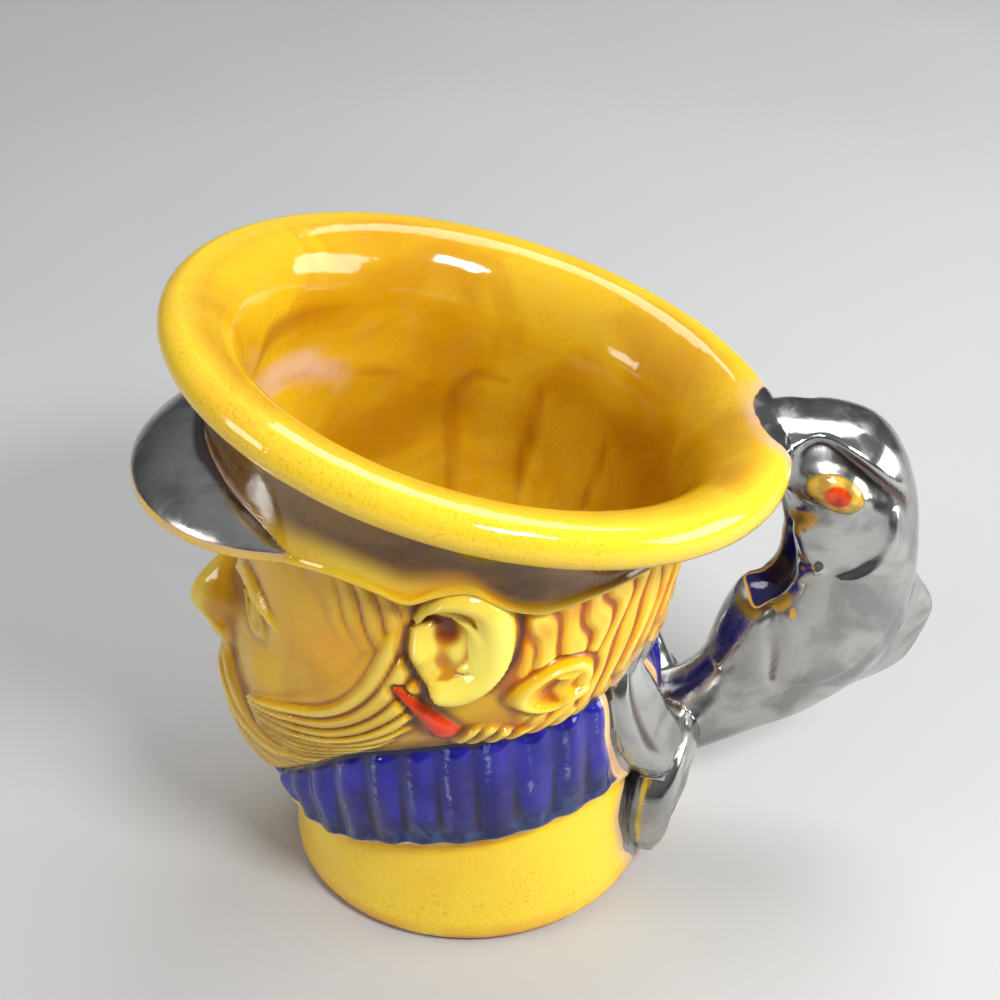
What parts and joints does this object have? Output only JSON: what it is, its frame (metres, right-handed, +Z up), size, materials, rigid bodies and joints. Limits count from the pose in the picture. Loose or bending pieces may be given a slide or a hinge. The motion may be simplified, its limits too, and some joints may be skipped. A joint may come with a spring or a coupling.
{
  "type": "toby jug",
  "caption": "Glazed earthenware character jug: a bearded head in a peaked cap whose crown is the open mouth, with a fish as the handle; stands on its flat foot.",
  "frame": {"origin": "middle of the flat foot, on the surface the jug stands on", "axes": "+Z up, -Y the way the face looks, +Y towards the fish handle, +X to the side"},
  "size_m": [0.1216, 0.1699, 0.1384],
  "materials": {
    "glaze": "glossy amber, blue and silver glaze"
  },
  "bodies": {
    "root": {"toby_jug": "glaze"}
  },
  "joints": []
}
